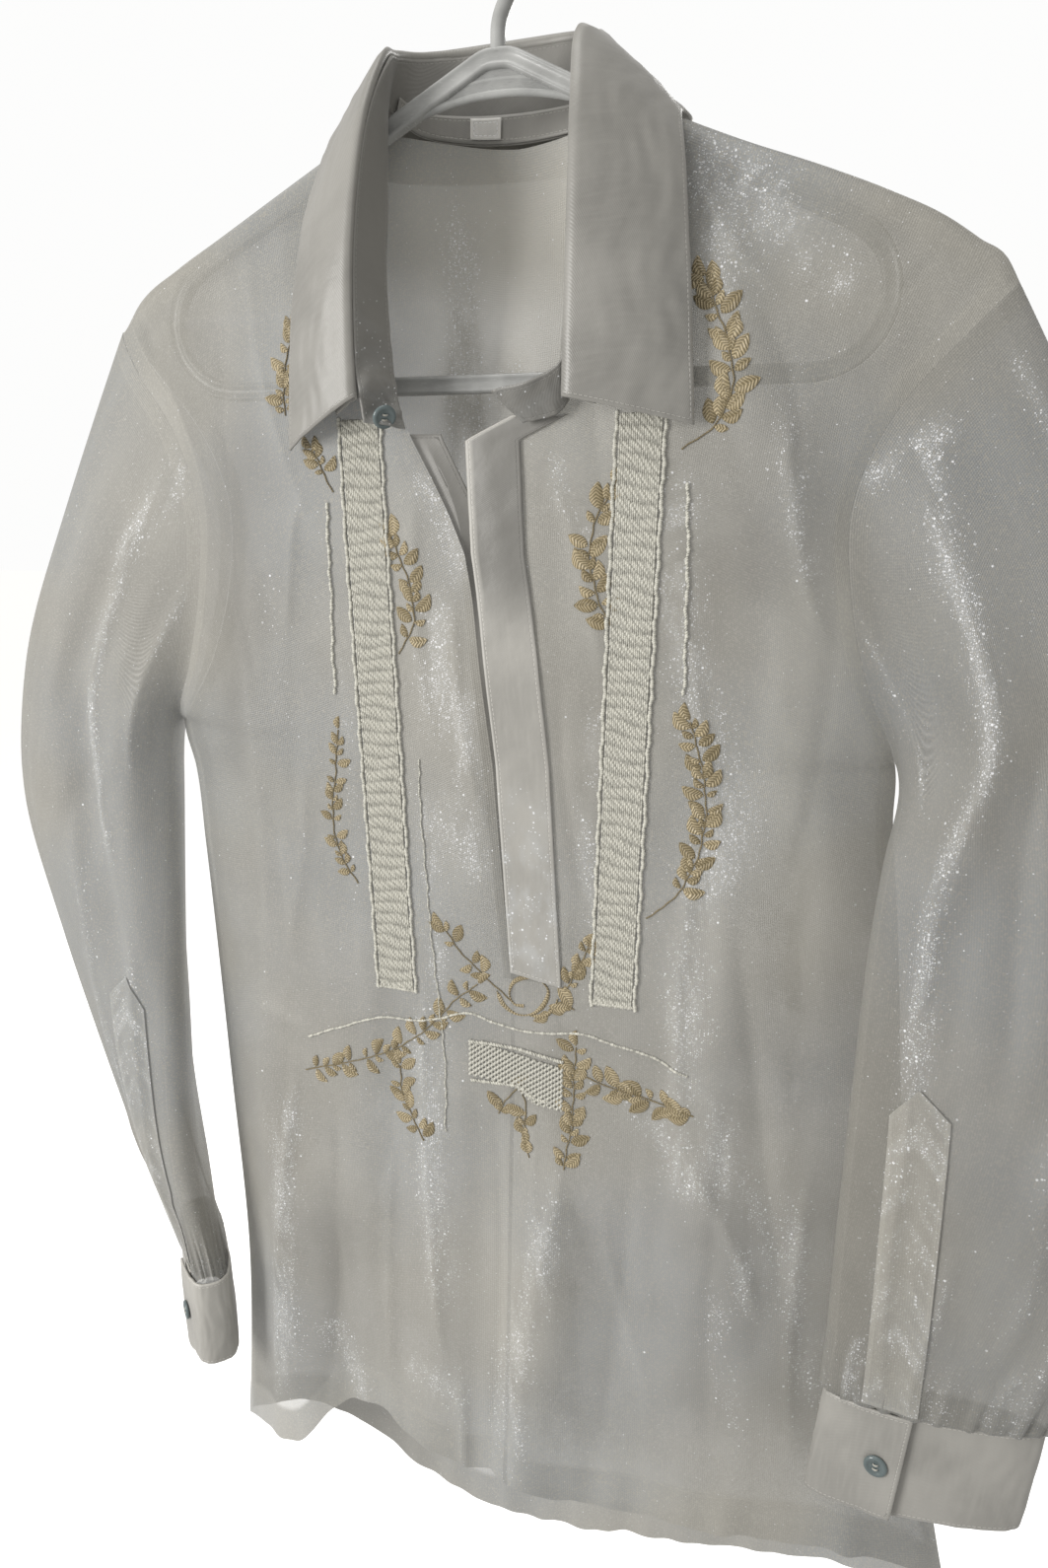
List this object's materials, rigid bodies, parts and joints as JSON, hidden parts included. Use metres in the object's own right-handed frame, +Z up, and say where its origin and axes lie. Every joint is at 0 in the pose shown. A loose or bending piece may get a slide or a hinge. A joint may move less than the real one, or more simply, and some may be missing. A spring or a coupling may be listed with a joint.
{
  "type": "barong tagalog shirt on a hanger",
  "caption": "Long-sleeved sheer barong tagalog shirt with a turn-down collar, half-open front, thread bands and buttoned cuffs, hung on a plastic hanger.",
  "frame": {"origin": "where the rod touches the inside of the hanger's hook, in the middle of the hook's wire", "axes": "+Z up, along the shirt's length; +X to the wearer's left; the shirt's front faces -Y"},
  "size_m": [0.6429, 0.1198, 0.9378],
  "materials": {
    "sheer_organza": "sheer, sparkling",
    "satin_facing": "satin",
    "cream_thread": "satin",
    "label_tape": "matte",
    "blue_grey_button": "gloss",
    "clear_white_plastic": "gloss"
  },
  "bodies": {
    "root": {"back_panel": "sheer_organza", "box_band": "cream_thread", "button_collar": "blue_grey_button", "button_cuff_left": "blue_grey_button", "button_cuff_right": "blue_grey_button", "collar_leaf": "satin_facing", "collar_stand": "satin_facing", "cuff_left": "satin_facing", "cuff_right": "satin_facing", "front_panel": "sheer_organza", "hanger": "clear_white_plastic", "ladder_band_left": "cream_thread", "ladder_band_right": "cream_thread", "neck_facing": "sheer_organza", "over_placket": "satin_facing", "size_label": "label_tape", "sleeve_left": "sheer_organza", "sleeve_placket_left": "sheer_organza", "sleeve_placket_right": "sheer_organza", "sleeve_right": "sheer_organza", "under_placket": "sheer_organza"}
  },
  "joints": []
}
